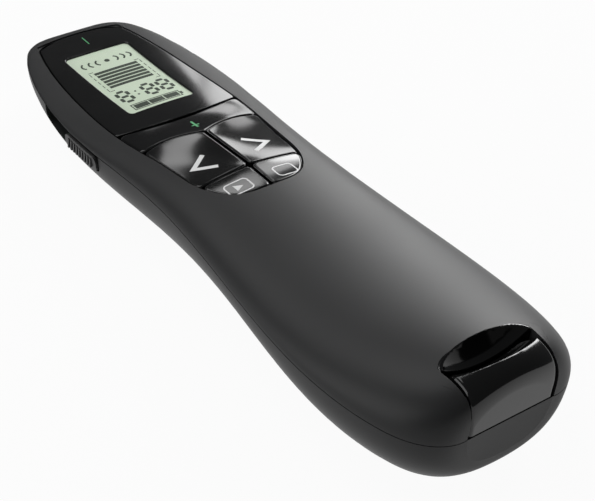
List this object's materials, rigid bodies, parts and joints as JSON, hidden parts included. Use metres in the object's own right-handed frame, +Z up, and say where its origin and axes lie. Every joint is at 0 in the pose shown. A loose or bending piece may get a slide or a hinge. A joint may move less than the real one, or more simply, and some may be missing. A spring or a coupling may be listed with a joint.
{
  "type": "wireless presentation remote",
  "caption": "Hand-held wireless presentation remote with a small display, glossy keys, side controls, a laser pointer and a USB receiver stored in the tail.",
  "frame": {"origin": "under the middle of the body, on the plane that the belly's two flats rest on", "axes": "+Y forward along the laser beam, +X to the right, +Z up"},
  "size_m": [0.0406, 0.1308, 0.0237],
  "materials": {
    "housing": "soft-touch dark grey moulding",
    "gloss": "polished black moulding",
    "lens": "clear display lens",
    "lcd": "pale grey-green liquid crystal panel",
    "frame_plastic": "plain black moulding",
    "control": "ribbed black moulding",
    "indicator": "bright green strip",
    "board": "green laminate",
    "component": "moulded component bodies",
    "steel": "plated steel",
    "gold": "plated brass",
    "tongue": "white contact carrier",
    "optic": "clear collimating lens",
    "ring": "black bezel ring",
    "cell_wrap": "plain wrapped cell"
  },
  "bodies": {
    "housing": {"top_shell": "housing", "bottom_shell": "housing", "display_window": "gloss", "display_lens": "lens", "lcd_panel": "lcd", "lcd_holder": "frame_plastic", "key_frame": "frame_plastic", "dock_bezel": "gloss", "switch_indicator": "indicator", "circuit_board": "board", "tact_switches": "component", "side_switches": "component", "slide_switch": "component", "board_chips": "component", "laser_barrel": "gold", "laser_lens": "optic", "aperture_ring": "ring", "vibration_motor": "steel", "motor_shaft": "steel", "battery_left": "cell_wrap", "battery_right": "cell_wrap", "battery_springs": "steel", "battery_contacts": "steel", "battery_tray": "frame_plastic", "receiver_sleeve": "frame_plastic", "housing_screws": "steel"},
    "laser_key": {"laser_button": "gloss"},
    "back_key": {"back_button": "gloss"},
    "next_key": {"next_button": "gloss"},
    "slideshow_key": {"slideshow_button": "gloss"},
    "blank_key": {"blank_button": "gloss"},
    "timer_key": {"timer_button": "control"},
    "timer_adjuster": {"timer_rocker": "control"},
    "power_knob": {"power_slider": "control"},
    "door": {"battery_door": "housing"},
    "receiver": {"usb_shell": "steel", "usb_tongue": "tongue", "usb_contacts": "gold", "receiver_body": "frame_plastic", "receiver_board": "board", "receiver_cap": "gloss"},
    "weight": {"vibration_weight": "steel"}
  },
  "joints": [
    {"name": "laser_press", "type": "slide", "parent": "housing", "child": "laser_key", "axis": [0, 0, -1], "range_m": [0, 0.0006], "stiffness_N_per_m": 500},
    {"name": "back_press", "type": "slide", "parent": "housing", "child": "back_key", "axis": [0, 0, -1], "range_m": [0, 0.0006], "stiffness_N_per_m": 450},
    {"name": "next_press", "type": "slide", "parent": "housing", "child": "next_key", "axis": [0, 0, -1], "range_m": [0, 0.0006], "stiffness_N_per_m": 450},
    {"name": "slideshow_press", "type": "slide", "parent": "housing", "child": "slideshow_key", "axis": [0, 0, -1], "range_m": [0, 0.0006], "stiffness_N_per_m": 450},
    {"name": "blank_press", "type": "slide", "parent": "housing", "child": "blank_key", "axis": [0, 0, -1], "range_m": [0, 0.0006], "stiffness_N_per_m": 450},
    {"name": "timer_press", "type": "slide", "parent": "housing", "child": "timer_key", "axis": [-1, 0, 0], "range_m": [0, 0.0005], "stiffness_N_per_m": 450},
    {"name": "timer_adjust_press", "type": "slide", "parent": "housing", "child": "timer_adjuster", "axis": [-1, 0, 0], "range_m": [0, 0.0005], "stiffness_N_per_m": 450},
    {"name": "power_slide", "type": "slide", "parent": "housing", "child": "power_knob", "axis": [0, 0.999, -0.0438], "range_m": [0, 0.009]},
    {"name": "receiver_pull", "type": "slide", "parent": "housing", "child": "receiver", "axis": [0, -0.9986, 0.0523], "range_m": [0, 0.03]},
    {"name": "battery_door_hinge", "type": "hinge", "parent": "housing", "child": "door", "pos_m": [0, -0.0084, 0.001], "axis": [1, 0, 0], "range_deg": [0, 75]},
    {"name": "motor_spin", "type": "hinge", "parent": "housing", "child": "weight", "pos_m": [0, 0.0115, 0.0046], "axis": [1, 0, 0], "continuous": true}
  ]
}
